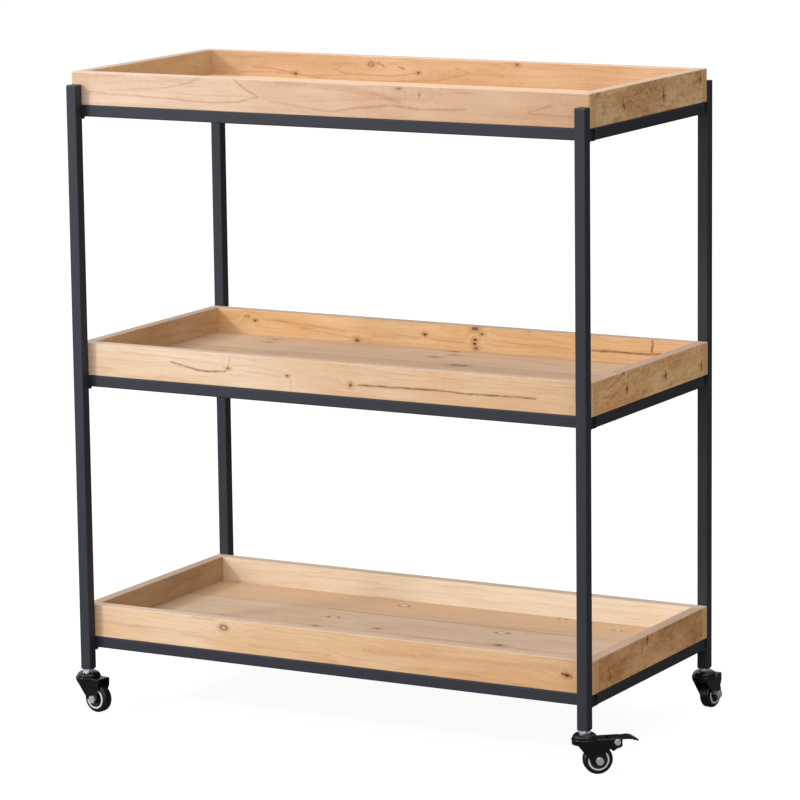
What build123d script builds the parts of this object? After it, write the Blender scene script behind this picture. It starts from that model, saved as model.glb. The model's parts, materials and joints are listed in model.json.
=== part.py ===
from build123d import *
import math
import os

# Three-tier bar cart: a welded square-tube frame that carries three shallow
# wooden trays and rolls on four small twin-leg swivel casters, two of them
# braked. Millimetres. +X runs along the length to the right, +Y to the back,
# +Z up. The origin lies on the floor under the middle of the frame.

# ---------------------------------------------------------------- frame
LENGTH = 800.0          # over the posts, left to right
DEPTH = 400.0           # over the posts, front to back
TUBE = 16.0             # square tube, outside
WALL = 1.2              # tube wall
TUBE_R = 1.5            # outside corner radius of the tube
POST_FOOT = 60.5        # floor to the underside of a post insert
POST_TALL = 831.0       # underside of the insert to the crown of the cap
CAP_TALL = 2.6          # part of the cap that shows above the tube
FOOT_TALL = 1.5         # part of the insert that shows below the tube
RAIL_BOTTOM = {"bottom": 30.0, "middle": 406.0, "top": 786.5}  # above the foot

# ---------------------------------------------------------------- trays
TRAY_LENGTH = 801.0
TRAY_GAP = 0.5          # between a tray and the posts it sits between
TRAY_TALL = 46.0
BOARD = 17.0            # thickness of the four tray boards
FLOOR_T = 10.0          # thickness of the tray floor panel
EDGE_R = 1.2            # eased edges of the boards
END_R = 2.6             # rounded upright corners of the boards
TRAY_SHIFT = {"bottom": 0.0, "middle": 0.7, "top": -1.2}  # sideways seat of a tray

# ---------------------------------------------------------------- screws
SCREW_R = 1.75
SCREW_HEAD_R = 3.5
SCREW_HEAD_T = 2.2
SCREW_BITE = 11.0       # length of thread in the wood

# ---------------------------------------------------------------- casters
WHEEL_R = 20.0
TYRE_W = 15.5
RIM_R = 14.4            # seat of the tyre on the core
RING_IN_R = 11.8        # inside of the pale ring on the core
RING_W = 16.4
WEB_W = 11.0
HUB_R = 5.4
HUB_W = 19.2
TRAIL = 17.5            # stem axis to axle
AXLE_Z = -40.5          # below the post foot
AXLE_R = 3.0
RUN = 0.05              # running clearance on a radius
LEG_IN = 10.0           # half the gap between the fork legs
LEG_OUT = 12.0
HEX_AF = 10.0
HEX_T = 4.0
DISC_R = 18.0           # swivel race under the head
DISC_TOP = -10.5
DISC_BOTTOM = -14.5
CROWN_TOP = -11.0
STEM_R = 4.0
COLLAR_AF = 16.0
COLLAR_T = 3.6
HEAD_R = 16.5
PIVOT_U = 42.0          # brake pedal pivot, along the trail
PIVOT_Z = -16.0
PIVOT_R = 2.5
PEDAL_TIP = 74.0
# compass heading of each caster's trail, counter-clockwise from +X
HEADING = {"fl": -9.0, "fr": 39.0, "rl": 219.0, "rr": 85.0}
BRAKED = ("fr", "rl")

HX = LENGTH / 2
HY = DEPTH / 2
PX = HX - TUBE / 2      # post centres
PY = HY - TUBE / 2
CORNERS = {"fl": (-PX, -PY), "fr": (PX, -PY), "rl": (-PX, PY), "rr": (PX, PY)}
LONG = {"fl": "front_left", "fr": "front_right", "rl": "rear_left", "rr": "rear_right"}

os.makedirs("parts", exist_ok=True)


def save(name, shapes):
    solids = []
    for s in shapes:
        solids += list(s.solids())
    out = solids[0] if len(solids) == 1 else Compound(children=solids)
    export_step(out, f"parts/{name}.step")


def box(x0, x1, y0, y1, z0, z1):
    return Pos((x0 + x1) / 2, (y0 + y1) / 2, (z0 + z1) / 2) * Box(x1 - x0, y1 - y0, z1 - z0)


def rod_z(x, y, r, z0, z1):
    return Pos(x, y, (z0 + z1) / 2) * Cylinder(r, z1 - z0)


def rod_y(x, z, r, y0, y1):
    return Pos(x, (y0 + y1) / 2, z) * (Rot(90, 0, 0) * Cylinder(r, y1 - y0))


def tube_z(x, y, z0, z1):
    outer = extrude(Pos(x, y, z0) * RectangleRounded(TUBE, TUBE, TUBE_R), z1 - z0)
    inner = extrude(Pos(x, y, z0) * RectangleRounded(TUBE - 2 * WALL, TUBE - 2 * WALL, 0.5), z1 - z0)
    return outer - inner


def tube_x(x0, x1, y, z):
    t = tube_z(0, 0, 0, x1 - x0)
    return Pos(x0, y, z) * (Rot(0, 90, 0) * t)


def tube_y(y0, y1, x, z):
    t = tube_z(0, 0, 0, y1 - y0)
    return Pos(x, y0, z) * (Rot(-90, 0, 0) * t)


def hexagon(af, t):
    # upright hexagonal prism on z = 0, its top and bottom corners eased
    r = af / math.sqrt(3)
    prism = extrude(RegularPolygon(r, 6), t)
    cone = Pos(0, 0, 0) * Cylinder(r * 0.985, t, align=(Align.CENTER, Align.CENTER, Align.MIN))
    cone = chamfer(cone.edges(), min(0.7, t * 0.2))
    return prism & cone


# ================================================================ posts
for key, (px, py) in CORNERS.items():
    z0 = POST_FOOT + FOOT_TALL
    z1 = POST_FOOT + POST_TALL - CAP_TALL
    save(f"post_{LONG[key]}", [tube_z(px, py, z0, z1)])

caps = []
feet = []
for px, py in CORNERS.values():
    z1 = POST_FOOT + POST_TALL - CAP_TALL
    crown = extrude(Pos(px, py, z1) * RectangleRounded(TUBE, TUBE, TUBE_R), CAP_TALL)
    crown = fillet(crown.faces().sort_by(Axis.Z)[-1].edges(), 1.35)
    plug = extrude(Pos(px, py, z1 - 9) * RectangleRounded(TUBE - 2 * WALL - 0.1, TUBE - 2 * WALL - 0.1, 0.6), 9)
    caps.append(crown + plug)
    foot = extrude(Pos(px, py, POST_FOOT) * RectangleRounded(TUBE, TUBE, TUBE_R), FOOT_TALL)
    foot = chamfer(foot.faces().sort_by(Axis.Z)[0].edges(), 1.0)
    body = extrude(Pos(px, py, POST_FOOT + FOOT_TALL) * RectangleRounded(TUBE - 2 * WALL - 0.1, TUBE - 2 * WALL - 0.1, 0.6), 24)
    feet.append(foot + body - rod_z(px, py, STEM_R + RUN, POST_FOOT - 1, POST_FOOT + 22))
save("post_top_caps", caps)
save("post_foot_inserts", feet)

# ================================================================ rails and trays
plugs = []
beads = []
screws = []
for tier, rb in RAIL_BOTTOM.items():
    z0 = POST_FOOT + rb
    zc = z0 + TUBE / 2
    z1 = z0 + TUBE
    ry = HY - TUBE * 1.5                    # centre of a front or rear rail
    inner = HY - 2 * TUBE                   # side rails run between those rails
    long_x = (-260.0, 0.0, 260.0)
    side_y = (-95.0, 95.0)

    def drilled(shape, points):
        for sx, sy in points:
            shape = shape - rod_z(sx, sy, SCREW_HEAD_R + 0.5, z0 - 1, z0 + WALL + 1)
            shape = shape - rod_z(sx, sy, SCREW_R + 0.3, z1 - WALL - 1, z1 + 1)
        return shape

    for side, sgn in (("front", -1), ("rear", 1)):
        pts = [(sx, sgn * ry) for sx in long_x]
        save(f"rail_{tier}_{side}", [drilled(tube_x(-HX, HX, sgn * ry, zc), pts)])
    for side, sgn in (("left", -1), ("right", 1)):
        pts = [(sgn * PX, sy) for sy in side_y]
        save(f"rail_{tier}_{side}", [drilled(tube_y(-inner, inner, sgn * PX, zc), pts)])

    # recessed end plugs of the long rails
    w = TUBE - 2 * WALL - 0.1
    for sx in (-1, 1):
        for sy in (-1, 1):
            x_out = sx * (HX - 3.0)
            x_in = sx * (HX - 15.0)
            p = box(min(x_out, x_in), max(x_out, x_in), sy * ry - w / 2, sy * ry + w / 2, zc - w / 2, zc + w / 2)
            plugs.append(fillet(p.edges().filter_by(Axis.X), 0.6))

    # weld beads: upright seam on the outside, seam underneath, and the
    # fillet where a long rail crosses the post
    for sx in (-1, 1):
        for sy in (-1, 1):
            ys = sy * inner
            cap_r = 2.4
            seam = Pos(sx * (HX - 1.1), ys, zc) * Cylinder(cap_r, TUBE - 6.0)
            seam = seam + Pos(sx * (HX - 1.1), ys, zc + TUBE / 2 - 3.0) * Sphere(cap_r)
            seam = seam + Pos(sx * (HX - 1.1), ys, zc - TUBE / 2 + 3.0) * Sphere(cap_r)
            keep = box(min(sx * HX, sx * (HX + 4)), max(sx * HX, sx * (HX + 4)), ys - 5, ys + 5, z0, z1)
            beads.append(seam & keep)
            low = Pos(sx * PX, ys, z0 + 0.9) * (Rot(0, 90, 0) * Cylinder(2.5, TUBE - 7.0))
            low = low + Pos(sx * (PX - TUBE / 2 + 3.5), ys, z0 + 0.9) * Sphere(2.5)
            low = low + Pos(sx * (PX + TUBE / 2 - 3.5), ys, z0 + 0.9) * Sphere(2.5)
            beads.append(low & box(min(sx * (PX - 9), sx * (PX + 9)), max(sx * (PX - 9), sx * (PX + 9)), ys - 5, ys + 5, z0 - 4, z0))
            yp = sy * (HY - TUBE)
            xa, xb = sorted((sx * (HX - 1.0), sx * (HX - TUBE - 3.0)))
            tri = Plane.YZ.offset(0) * Polygon((yp, z0), (yp - sy * 3.2, z0), (yp - sy * 1.3, z0 - 1.3), (yp, z0 - 3.2), align=None)
            fil = Pos(xa, 0, 0) * extrude(tri, xb - xa, dir=(1, 0, 0))
            beads.append(fil)

    # tray boards
    zt0 = z1
    zt1 = z1 + TRAY_TALL
    cx = TRAY_SHIFT[tier]
    tx = TRAY_LENGTH / 2
    ty = HY - TUBE - TRAY_GAP

    points = [(sx, sy * ry) for sx in long_x for sy in (-1, 1)]
    points += [(sx * PX, y) for sx in (-1, 1) for y in side_y]

    def bored(shape):
        for sx, sy in points:
            shape = shape - rod_z(sx, sy, SCREW_R + 0.05, zt0 - 1, zt0 + SCREW_BITE + 0.5)
        return shape

    for side, sgn in (("front", -1), ("back", 1)):
        ya, yb = sorted((sgn * ty, sgn * (ty - BOARD)))
        b = box(cx - tx, cx + tx, ya, yb, zt0, zt1)
        b = fillet(b.edges().filter_by(Axis.Z).filter_by(lambda e, s=sgn: s * e.center().Y > ty - 1), END_R)
        b = fillet(b.faces().sort_by(Axis.Z)[-1].edges() + b.faces().sort_by(Axis.Z)[0].edges(), EDGE_R)
        save(f"tray_{tier}_{side}_board", [bored(b)])
    for side, sgn in (("left", -1), ("right", 1)):
        xa, xb = sorted((cx + sgn * tx, cx + sgn * (tx - BOARD)))
        b = box(xa, xb, -(ty - BOARD), ty - BOARD, zt0, zt1)
        b = fillet(b.edges().filter_by(Axis.Y), EDGE_R)
        save(f"tray_{tier}_{side}_board", [bored(b)])
    floor = box(cx - tx + BOARD, cx + tx - BOARD, -(ty - BOARD), ty - BOARD, zt0, zt0 + FLOOR_T)
    save(f"tray_{tier}_floor", [floor])

    for sx, sy in points:
        s = rod_z(sx, sy, SCREW_R, z1 - WALL - 0.5, zt0 + SCREW_BITE)
        h = rod_z(sx, sy, SCREW_HEAD_R, z1 - WALL - SCREW_HEAD_T, z1 - WALL)
        h = fillet(h.faces().sort_by(Axis.Z)[0].edges(), 0.9)
        screws.append(s + h)
save("rail_end_plugs", plugs)
save("weld_beads", beads)
save("tray_screws", screws)


# ================================================================ casters
# Local frame of a caster: x = u along the trail, z = 0 at the post foot.
def revolve_z(points):
    face = Plane.XZ * Polygon(*points, align=None)
    return revolve(face, Axis.Z)


def stem():
    shaft = rod_z(0, 0, STEM_R, DISC_BOTTOM - 1.0, 20.0)
    shaft = chamfer(shaft.faces().sort_by(Axis.Z)[-1].edges(), 1.0)
    collar = Pos(0, 0, -COLLAR_T) * hexagon(COLLAR_AF, COLLAR_T)
    rivet = rod_z(0, 0, 6.5, DISC_BOTTOM - 2.8, DISC_BOTTOM - 0.3)
    rivet = fillet(rivet.faces().sort_by(Axis.Z)[0].edges(), 1.2)
    return shaft + collar + rivet


def head():
    # domed cover and upper race, pressed on the stem under the collar
    r = STEM_R
    t = -COLLAR_T
    prof = [(r, t), (9.5, t), (12.6, t - 0.7), (14.6, t - 2.0), (15.9, t - 3.6), (HEAD_R, t - 5.0),
            (HEAD_R, t - 6.0), (15.6, t - 6.5), (r, t - 6.5)]
    return revolve_z(prof)


def leg_outline(braked):
    tip = (TRAIL, AXLE_Z)
    if braked:
        pts = [(-15.0, CROWN_TOP), (49.0, CROWN_TOP), (49.0, -21.5), (46.5, -24.0), (36.0, -24.0), (29.5, -26.5),
               (26.0, -31.0), (TRAIL + 6.9, AXLE_Z + 1.0), tip, (TRAIL - 5.6, AXLE_Z - 4.0), (5.0, -39.0),
               (-0.8, -32.0), (-6.3, -25.0), (-13.6, -16.0)]
    else:
        pts = [(-15.0, CROWN_TOP), (28.0, CROWN_TOP), (28.0, -21.5), (26.6, -25.0), (24.6, -29.5),
               (TRAIL + 6.9, AXLE_Z + 1.0), tip, (TRAIL - 5.6, AXLE_Z - 4.0), (5.0, -39.0),
               (-0.8, -32.0), (-6.3, -25.0), (-13.6, -16.0)]
    return pts


def fork(braked):
    rear = 49.0 if braked else 28.0
    body = None
    for s in (-1, 1):
        face = Plane.XZ * Polygon(*leg_outline(braked), align=None)
        leg = extrude(face, LEG_OUT - LEG_IN, dir=(0, 1, 0))
        leg = Pos(0, LEG_IN if s > 0 else -LEG_OUT, 0) * leg
        tip = rod_y(TRAIL, AXLE_Z, 7.0, s * LEG_IN, s * LEG_OUT) if s > 0 else rod_y(TRAIL, AXLE_Z, 7.0, -LEG_OUT, -LEG_IN)
        leg = leg + tip
        body = leg if body is None else body + leg
    plate = box(-10.0, 28.0, -LEG_OUT, LEG_OUT, CROWN_TOP - 2.0, CROWN_TOP)
    body = body + plate
    # soften the long bends between the crown plate and the legs
    bends = body.edges().filter_by(Axis.X).filter_by(
        lambda e: abs(abs(e.center().Y) - LEG_OUT) < 0.01 and abs(e.center().Z - CROWN_TOP) < 0.01)
    if len(bends):
        body = fillet(bends, 1.3)
    disc = rod_z(0, 0, DISC_R, DISC_BOTTOM, DISC_TOP)
    disc = fillet(disc.edges(), 1.2)
    skirt = rod_z(0, 0, DISC_R - 0.6, -18.5, DISC_BOTTOM + 1.0) - rod_z(0, 0, DISC_R - 2.6, -20.0, DISC_BOTTOM + 0.2)
    skirt = skirt & box(-30, -8.5, -LEG_OUT, LEG_OUT, -20, 0)
    body = body + disc + skirt
    body = body - rod_z(0, 0, STEM_R + RUN, -30, 0)
    body = body - rod_y(TRAIL, AXLE_Z, AXLE_R + RUN, -LEG_OUT - 1, LEG_OUT + 1)
    if braked:
        body = body - rod_y(PIVOT_U, PIVOT_Z, PIVOT_R + RUN, -LEG_OUT - 1, LEG_OUT + 1)
    return body


def bolt_and_nut(x, z, r, half, af, t):
    shaft = rod_y(x, z, r, -half, half + t + 1.2)
    hd = Pos(x, -half, z) * (Rot(90, 0, 0) * hexagon(af, t))
    nut = Pos(x, half + t, z) * (Rot(90, 0, 0) * hexagon(af, t))
    nut = nut - rod_y(x, z, r + 0.02, half - 1, half + t + 2)
    return [shaft + hd, nut]


def core():
    pts = [(AXLE_R + RUN, -HUB_W / 2), (HUB_R, -HUB_W / 2), (HUB_R, -WEB_W / 2), (RING_IN_R - 0.4, -WEB_W / 2),
           (RING_IN_R, -RING_W / 2 + 0.4), (RING_IN_R + 0.5, -RING_W / 2), (RIM_R - 0.5, -RING_W / 2), (RIM_R, -RING_W / 2 + 0.5),
           (RIM_R, RING_W / 2 - 0.5), (RIM_R - 0.5, RING_W / 2), (RING_IN_R + 0.5, RING_W / 2), (RING_IN_R, RING_W / 2 - 0.4),
           (RING_IN_R - 0.4, WEB_W / 2), (HUB_R, WEB_W / 2), (HUB_R, HUB_W / 2), (AXLE_R + RUN, HUB_W / 2)]
    body = revolve_z(pts)
    return Pos(TRAIL, 0, AXLE_Z) * (Rot(90, 0, 0) * body)


def tyre():
    t = rod_z(0, 0, WHEEL_R, -TYRE_W / 2, TYRE_W / 2)
    t = fillet(t.edges(), 4.2)
    t = t - rod_z(0, 0, RIM_R, -TYRE_W, TYRE_W)
    return Pos(TRAIL, 0, AXLE_Z) * (Rot(90, 0, 0) * t)


def pedal():
    # top plate with a rising, pointed tread and two ears on the pivot bolt;
    # a lobe under the pivot wedges against the tyre when the tread goes down
    ear_in, ear_out = 7.6, 9.6
    side = [(31.0, -11.4), (47.0, -11.4), (53.0, -11.0), (59.5, -10.8), (64.0, -11.6), (69.0, -13.9), (PEDAL_TIP, -17.4),
            (PEDAL_TIP - 0.6, -18.6), (68.0, -16.2), (63.0, -14.1), (58.0, -13.2), (52.0, -13.3), (31.0, -13.4)]
    plan = [(31.0, -9.6), (50.0, -9.6), (58.0, -10.6), (66.0, -8.8), (71.5, -4.6), (PEDAL_TIP + 0.2, -0.8), (PEDAL_TIP + 0.2, 0.8),
            (71.5, 4.6), (66.0, 8.8), (58.0, 10.6), (50.0, 9.6), (31.0, 9.6)]
    slab = Pos(0, -14, 0) * extrude(Plane.XZ * Polygon(*side, align=None), 28, dir=(0, 1, 0))
    column = Pos(0, 0, -20) * extrude(Polygon(*plan, align=None), 20)
    body = slab & column
    lobe_a = math.radians(-112)
    lx, lz = PIVOT_U + 14.1 * math.cos(lobe_a), PIVOT_Z + 14.1 * math.sin(lobe_a)
    for s in (-1, 1):
        ya, yb = (ear_in, ear_out) if s > 0 else (-ear_out, -ear_in)
        outline = [(34.0, -12.4), (49.6, -12.4), (49.0, -14.0), (47.6, -20.0), (lx + 5.4, lz + 3.4), (lx + 1.0, lz), (lx - 1.2, lz + 0.9),
                   (35.6, -21.0), (34.4, -14.0)]
        ear = Pos(0, ya, 0) * extrude(Plane.XZ * Polygon(*outline, align=None), yb - ya, dir=(0, 1, 0))
        body = body + ear
    shoe = Pos(0, -ear_out, 0) * extrude(
        Plane.XZ * Polygon((lx + 1.0, lz), (lx - 1.2, lz + 0.9), (lx - 0.6, lz + 3.0), (lx + 1.8, lz + 2.2), align=None), 2 * ear_out, dir=(0, 1, 0))
    body = body + shoe
    return body - rod_y(PIVOT_U, PIVOT_Z, PIVOT_R + RUN, -20, 20)


for key, (sx, sy) in CORNERS.items():
    place = Location((sx, sy, POST_FOOT), (0, 0, HEADING[key]))
    name = LONG[key]
    braked = key in BRAKED
    save(f"caster_fork_{name}", [place * fork(braked)])
    save(f"caster_axle_{name}", [place * s for s in bolt_and_nut(TRAIL, AXLE_Z, AXLE_R, LEG_OUT, HEX_AF, HEX_T)])
    save(f"caster_wheel_core_{name}", [place * core()])
    save(f"caster_tyre_{name}", [place * tyre()])
    if braked:
        save(f"brake_pedal_{name}", [place * pedal()])
        hardware = bolt_and_nut(PIVOT_U, PIVOT_Z, PIVOT_R, LEG_OUT, 8.0, 3.2)
        tail = Pos(PIVOT_U + 3.75, 0, PIVOT_Z - 6.0) * Cylinder(0.5, 12.5)
        hardware.append(tail)
        save(f"brake_pivot_{name}", [place * s for s in hardware])

stems = []
heads = []
for key, (sx, sy) in CORNERS.items():
    place = Location((sx, sy, POST_FOOT), (0, 0, 0))
    stems += [place * stem()]
    heads += [place * head()]
save("caster_stems", stems)
save("caster_head_covers", heads)
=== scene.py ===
import json
import math
import random

import bmesh
import bpy
from mathutils import Matrix, Vector


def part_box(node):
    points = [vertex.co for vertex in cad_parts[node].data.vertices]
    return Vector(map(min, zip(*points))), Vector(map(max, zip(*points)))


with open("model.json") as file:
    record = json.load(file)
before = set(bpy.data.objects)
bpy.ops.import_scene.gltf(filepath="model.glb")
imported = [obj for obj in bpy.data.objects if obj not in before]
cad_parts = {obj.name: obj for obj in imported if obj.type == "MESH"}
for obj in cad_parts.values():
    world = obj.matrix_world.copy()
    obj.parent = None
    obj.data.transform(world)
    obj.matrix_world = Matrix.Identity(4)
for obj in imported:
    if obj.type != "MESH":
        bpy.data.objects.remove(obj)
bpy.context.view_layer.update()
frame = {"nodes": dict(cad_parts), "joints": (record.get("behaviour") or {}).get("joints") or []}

random.seed(41)
nodes = frame["nodes"]


# ------------------------------------------------------------------ helpers
def lin(r, g, b):
    """sRGB 0-255 to linear RGBA."""
    out = []
    for c in (r, g, b):
        c = c / 255.0
        out.append(c / 12.92 if c <= 0.04045 else ((c + 0.055) / 1.055) ** 2.4)
    return (*out, 1.0)


class Graph:
    """Small helper that adds shader nodes and links to one material."""

    def __init__(self, name):
        self.mat = bpy.data.materials.new(name)
        self.mat.use_nodes = True
        self.t = self.mat.node_tree
        self.t.nodes.clear()
        self.out = self.t.nodes.new("ShaderNodeOutputMaterial")
        self.bsdf = self.t.nodes.new("ShaderNodeBsdfPrincipled")
        self.t.links.new(self.bsdf.outputs[0], self.out.inputs[0])
        self.coord = self.t.nodes.new("ShaderNodeTexCoord").outputs["Object"]

    def put(self, sock, v):
        if isinstance(v, bpy.types.NodeSocket):
            self.t.links.new(v, sock)
        elif v is not None:
            sock.default_value = v

    def math(self, op, a, b=None, c=None, clamp=False):
        n = self.t.nodes.new("ShaderNodeMath")
        n.operation = op
        n.use_clamp = clamp
        self.put(n.inputs[0], a)
        self.put(n.inputs[1], b)
        self.put(n.inputs[2], c)
        return n.outputs[0]

    def vmath(self, op, a, b=None, s=None):
        n = self.t.nodes.new("ShaderNodeVectorMath")
        n.operation = op
        self.put(n.inputs[0], a)
        if b is not None:
            self.put(n.inputs[1], b)
        if s is not None:
            self.put(n.inputs["Scale"], s)
        return n.outputs["Value"] if op in ("LENGTH", "DOT_PRODUCT", "DISTANCE") else n.outputs["Vector"]

    def xyz(self, v):
        n = self.t.nodes.new("ShaderNodeSeparateXYZ")
        self.put(n.inputs[0], v)
        return n.outputs[0], n.outputs[1], n.outputs[2]

    def vec(self, x, y, z):
        n = self.t.nodes.new("ShaderNodeCombineXYZ")
        for i, v in enumerate((x, y, z)):
            self.put(n.inputs[i], v)
        return n.outputs[0]

    def noise(self, v, scale=1.0, detail=3.0, rough=0.5, dist=0.0):
        n = self.t.nodes.new("ShaderNodeTexNoise")
        self.put(n.inputs["Vector"], v)
        n.inputs["Scale"].default_value = scale
        n.inputs["Detail"].default_value = detail
        n.inputs["Roughness"].default_value = rough
        n.inputs["Distortion"].default_value = dist
        return n.outputs[0]

    def white(self, v):
        n = self.t.nodes.new("ShaderNodeTexWhiteNoise")
        n.noise_dimensions = "1D"
        self.put(n.inputs["W"], v)
        return n.outputs["Value"]

    def ramp(self, v, stops, mode="LINEAR"):
        n = self.t.nodes.new("ShaderNodeValToRGB")
        self.put(n.inputs[0], v)
        n.color_ramp.interpolation = mode
        e = n.color_ramp.elements
        while len(e) < len(stops):
            e.new(0.5)
        for i, (p, c) in enumerate(stops):
            e[i].position = p
            e[i].color = c if isinstance(c, tuple) else (c, c, c, 1.0)
        return n.outputs[0]

    def step(self, v, lo, hi):
        """smooth 0..1 as v goes from lo to hi"""
        n = self.t.nodes.new("ShaderNodeMapRange")
        n.interpolation_type = "SMOOTHSTEP"
        self.put(n.inputs[0], v)
        n.inputs[1].default_value = lo
        n.inputs[2].default_value = hi
        return n.outputs[0]

    def mix(self, f, a, b, mode="MIX"):
        n = self.t.nodes.new("ShaderNodeMix")
        n.data_type = "RGBA"
        n.blend_type = mode
        n.clamp_factor = True
        self.put(n.inputs[0], f)
        self.put(n.inputs[6], a)
        self.put(n.inputs[7], b)
        return n.outputs[2]

    def bump(self, h, strength=0.3, dist=0.001, normal=None):
        n = self.t.nodes.new("ShaderNodeBump")
        n.inputs["Strength"].default_value = strength
        n.inputs["Distance"].default_value = dist
        self.put(n.inputs["Height"], h)
        if normal is not None:
            self.put(n.inputs["Normal"], normal)
        return n.outputs[0]

    def set(self, **kw):
        for k, v in kw.items():
            self.put(self.bsdf.inputs[k.replace("_", " ")], v)
        return self.mat


def paint(obj, mat):
    obj.data.materials.clear()
    obj.data.materials.append(mat)


# ------------------------------------------------------------------ wood
def wood(name, axis, seed, light, mid, dark, knots=(), lines=(), spacing=5.2, pith=(14.0, 70.0), tilt=0.006,
         ring=0.75, warm=None, planks=None, centre=(0, 0, 0), wander=16.0, saw=0.0, mottle=0.0, painted_lit_rim=None, fig=1.0, painted_light_falloff=None):
    """Sawn softwood. axis = which object axes run along, across and through
    the board. pith = offset of the growth centre across and behind the face,
    in mm. knots = (along, across, radius, darkness, kind) and
    lines = (points, width, darkness), in mm from the board's centre."""
    g = Graph(name)
    mm = g.vmath("SCALE", g.vmath("SUBTRACT", g.coord, centre), s=1000.0)
    c = g.xyz(mm)
    L, W, T = c[axis[0]], c[axis[1]], c[axis[2]]
    off = seed * 37.7
    tint = None
    if planks:
        # glued-up panel: each plank has its own growth centre and tone
        width, jitter = planks
        idx = g.math("FLOOR", g.math("DIVIDE", g.math("ADD", W, 1000.0 + jitter), width))
        base = g.math("MULTIPLY", idx, width)
        Wl = g.math("SUBTRACT", g.math("ADD", W, 1000.0 + jitter), g.math("ADD", base, width / 2))
        rnd = g.white(g.math("ADD", idx, off))
        rnd2 = g.white(g.math("ADD", idx, off + 9.13))
        tint = rnd
        Lp = g.math("ADD", L, g.math("MULTIPLY", rnd, 3000.0))
        Wp = g.math("ADD", Wl, g.math("MULTIPLY", g.math("SUBTRACT", rnd2, 0.5), 60.0))
        seam = g.step(g.math("SUBTRACT", width / 2, g.math("ABSOLUTE", Wl)), 0.9, 0.15)
    else:
        Lp, Wp, seam = L, W, None
    low = g.noise(g.vec(g.math("MULTIPLY_ADD", Lp, 0.0045, off), g.math("MULTIPLY", Wp, 0.011), g.math("MULTIPLY", T, 0.02)), 1.0, 2.0)
    w1 = g.math("ADD", g.math("ADD", Wp, pith[0]), g.math("MULTIPLY", g.math("SUBTRACT", low, 0.5), 2.0 * wander))
    w1 = g.math("ADD", w1, g.math("MULTIPLY", Lp, tilt))
    t1 = g.math("ADD", g.math("ADD", T, pith[1]), g.math("MULTIPLY", Lp, tilt * 1.7))
    r = g.math("SQRT", g.math("ADD", g.math("MULTIPLY", w1, w1), g.math("MULTIPLY", t1, t1)))
    mid_n = g.noise(g.vec(g.math("MULTIPLY_ADD", Lp, 0.018, off), g.math("MULTIPLY", Wp, 0.09), g.math("MULTIPLY", T, 0.09)), 1.0, 3.0)
    r = g.math("ADD", r, g.math("MULTIPLY", g.math("SUBTRACT", mid_n, 0.5), 5.5))
    kcore = kridge = khalo = kpale = None

    def most(a, b):
        return b if a is None else g.math("MAXIMUM", a, b)

    for i, (kl, kw, kr, ks, kind) in enumerate(knots):
        dl = g.math("SUBTRACT", L, kl)
        dw = g.math("SUBTRACT", W, kw)
        wob = g.noise(g.vec(g.math("MULTIPLY", dl, 0.30), g.math("MULTIPLY", dw, 0.30), off + i * 3.1), 1.0, 2.0)
        flat = g.vec(g.math("MULTIPLY", dl, 0.66 if planks is None else 0.55), dw, 0.0)
        d = g.math("MULTIPLY", g.vmath("LENGTH", flat), g.math("MULTIPLY_ADD", wob, 0.7, 0.65))
        spread = kr * 2.6
        e = g.math("MULTIPLY", g.math("MULTIPLY", d, d), -1.0 / (2 * spread * spread))
        r = g.math("ADD", r, g.math("MULTIPLY", g.math("EXPONENT", e), kr * 2.6))
        outer = g.step(d, kr * 1.05, kr * 0.62)
        if kind == "dark":
            kcore = most(kcore, g.math("MULTIPLY", outer, ks))
            khalo = most(khalo, g.math("MULTIPLY", g.step(d, kr * 3.4, kr * 0.7), ks * 0.55))
        else:
            band = g.math("MULTIPLY", g.step(g.math("ABSOLUTE", g.math("SUBTRACT", d, kr * 0.86)), kr * 0.34, kr * 0.05), ks)
            kridge = most(kridge, band)
            if kind == "pale":
                kpale = most(kpale, g.math("MULTIPLY", g.step(d, kr * 0.85, kr * 0.55), ks))
                khalo = most(khalo, g.math("MULTIPLY", g.step(d, kr * 2.2, kr * 0.9), ks * 0.25))
            else:
                rings = g.step(g.math("FRACT", g.math("DIVIDE", d, kr * 0.36)), 0.35, 0.95)
                kcore = most(kcore, g.math("MULTIPLY", g.math("MULTIPLY", g.step(d, kr * 0.95, kr * 0.6), rings), ks * 0.55))
                khalo = most(khalo, g.math("MULTIPLY", g.step(d, kr * 2.6, kr * 0.8), ks * 0.45))
    # growth rings: pale early wood that darkens and stops sharply
    ph = g.math("DIVIDE", r, spacing)
    drift = g.noise(g.vec(0.0, g.math("MULTIPLY_ADD", ph, 0.33, off), 0.0), 1.0, 1.0)
    ph = g.math("ADD", ph, g.math("MULTIPLY", drift, 2.4))
    idx_r = g.math("FLOOR", ph)
    f = g.math("FRACT", ph)
    weight = g.white(g.math("ADD", idx_r, off + 0.5))
    late = g.math("POWER", f, g.math("MULTIPLY_ADD", weight, 3.5, 1.9))
    late = g.math("MULTIPLY", late, g.step(f, 1.0, 0.90))
    fade = g.noise(g.vec(g.math("MULTIPLY_ADD", Lp, 0.012, off * 2), g.math("MULTIPLY", Wp, 0.05), 0.0), 1.0, 2.0)
    late = g.math("MULTIPLY", late, g.math("MULTIPLY_ADD", weight, 0.62, 0.38))
    late = g.math("MULTIPLY", late, g.step(fade, 0.20, 0.62))
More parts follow.
